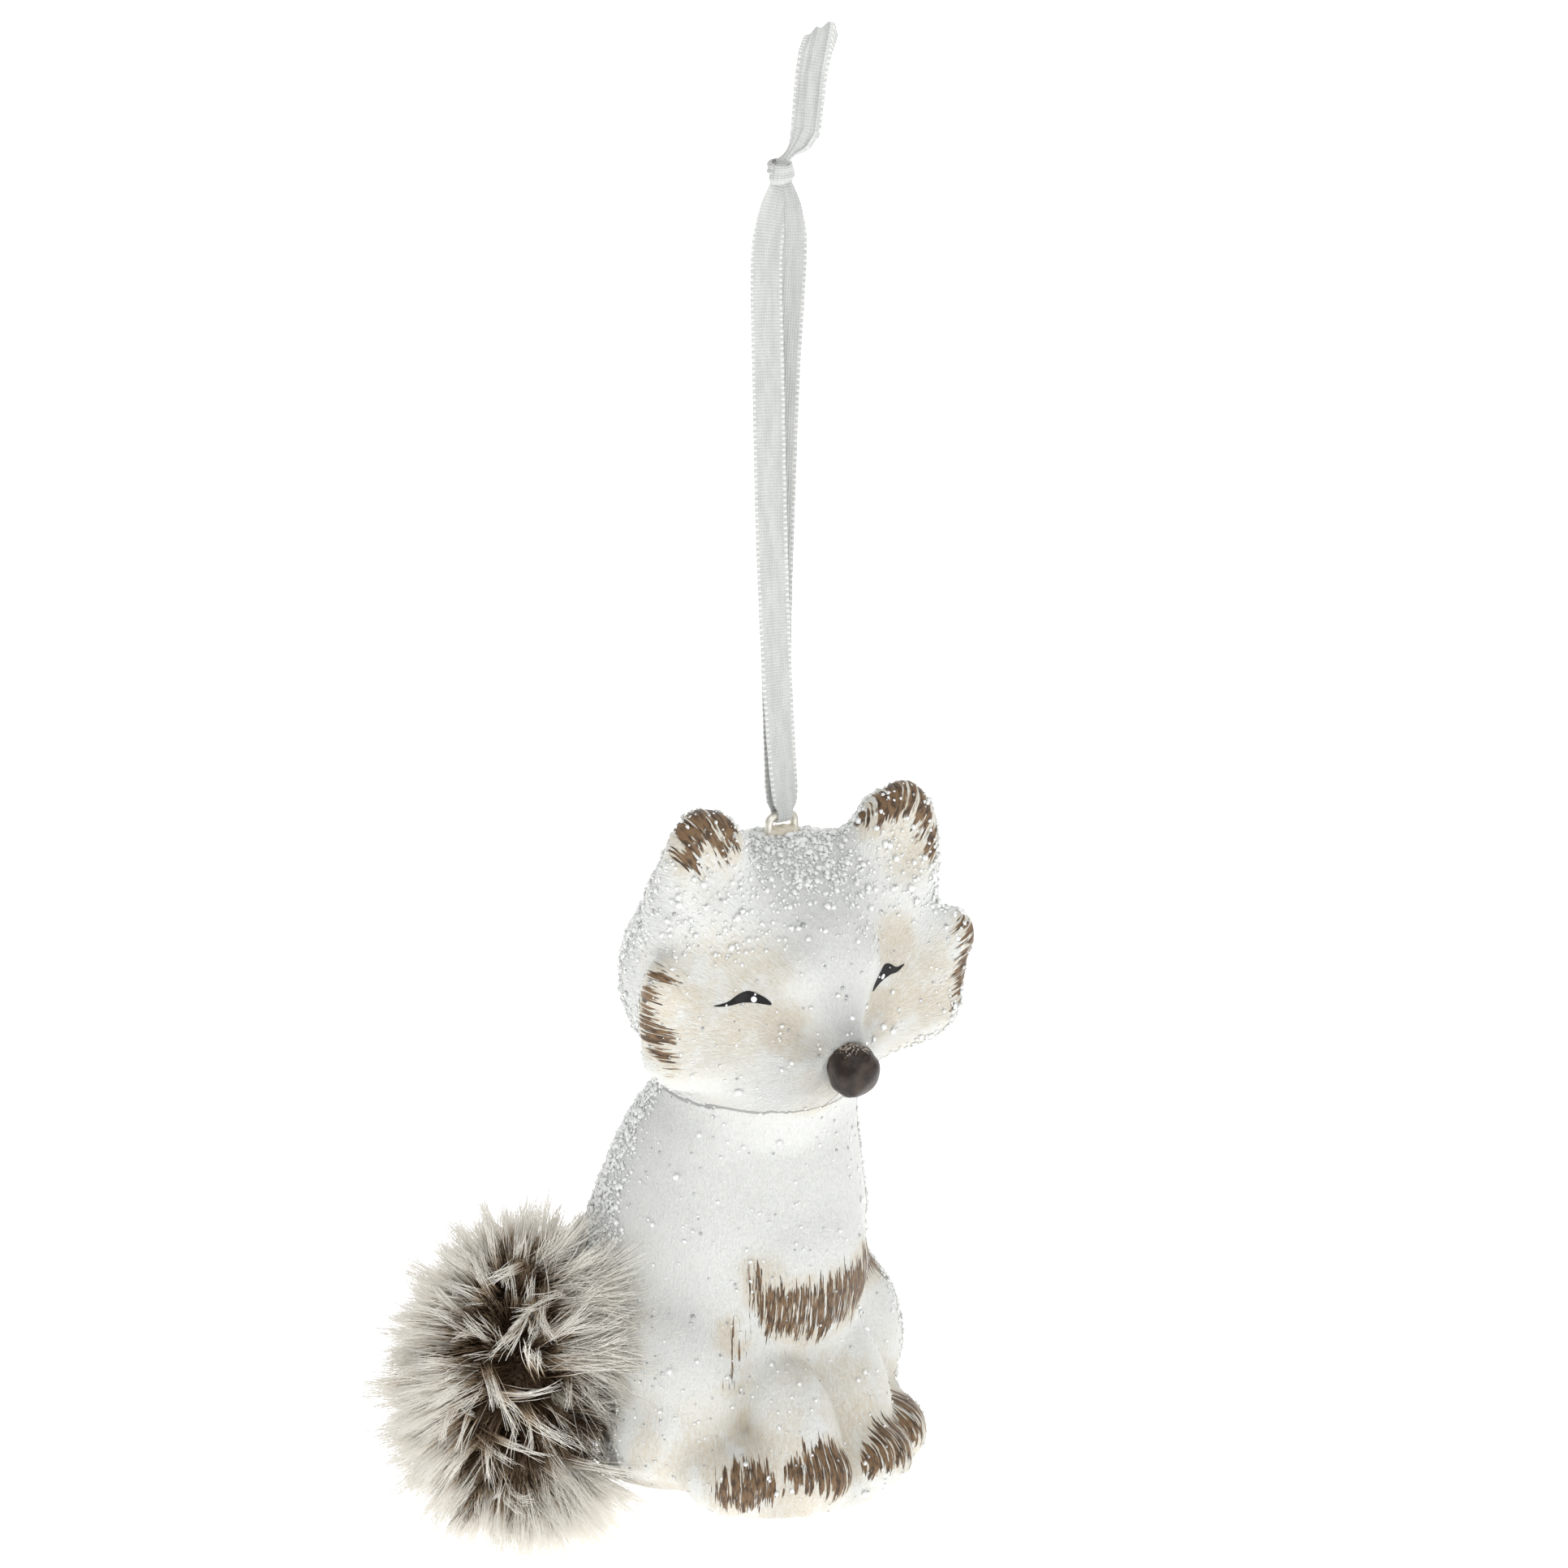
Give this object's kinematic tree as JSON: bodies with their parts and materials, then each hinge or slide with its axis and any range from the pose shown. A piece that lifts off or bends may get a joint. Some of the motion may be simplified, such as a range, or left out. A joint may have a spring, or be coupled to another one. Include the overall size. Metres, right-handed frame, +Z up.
{
  "type": "hanging fox figurine",
  "caption": "Sitting white ceramic fox hanging ornament with snow glitter coating, brown brushed markings, bead nose, fur tail and a knotted satin ribbon loop.",
  "frame": {"origin": "inside top of the ribbon loop, just under its knot, where a hook carries the ornament", "axes": "+Z up along the hanging ribbon, -Y the way the fox's body faces, +X the fox's left"},
  "size_m": [0.0503, 0.0494, 0.1611],
  "materials": {
    "snow_ceramic": "matte white paint under snow grit and glitter, with brown dry-brushed markings",
    "nose_bead": "semi-gloss dark brown, worn on top",
    "painted_wire": "steel wire under off-white paint",
    "glue": "dried cream glue",
    "satin_ribbon": "pale grey-white satin weave",
    "tail_knit": "brown knit backing",
    "tail_fur": "long pile, white at the tips and dark brown at the roots"
  },
  "bodies": {
    "ribbon_top": {"ribbon_upper": "satin_ribbon", "ribbon_knot": "satin_ribbon", "ribbon_tail": "satin_ribbon"},
    "ribbon_bottom": {"ribbon_lower": "satin_ribbon"},
    "fox": {"casting": "snow_ceramic", "nose": "nose_bead", "hanging_eye": "painted_wire", "eye_glue": "glue", "tail_backing": "tail_knit", "tail_glue": "glue", "tail_pile": "tail_fur"}
  },
  "joints": [
    {"name": "ribbon_twist", "type": "hinge", "parent": "ribbon_top", "child": "ribbon_bottom", "pos_m": [0, 0, -0.03225], "axis": [0, 0, 1], "range_deg": [-160, 160]},
    {"name": "fox_swing", "type": "hinge", "parent": "ribbon_bottom", "child": "fox", "pos_m": [0, 0, -0.0645], "axis": [1, 0, 0], "range_deg": [-80, 80]}
  ]
}
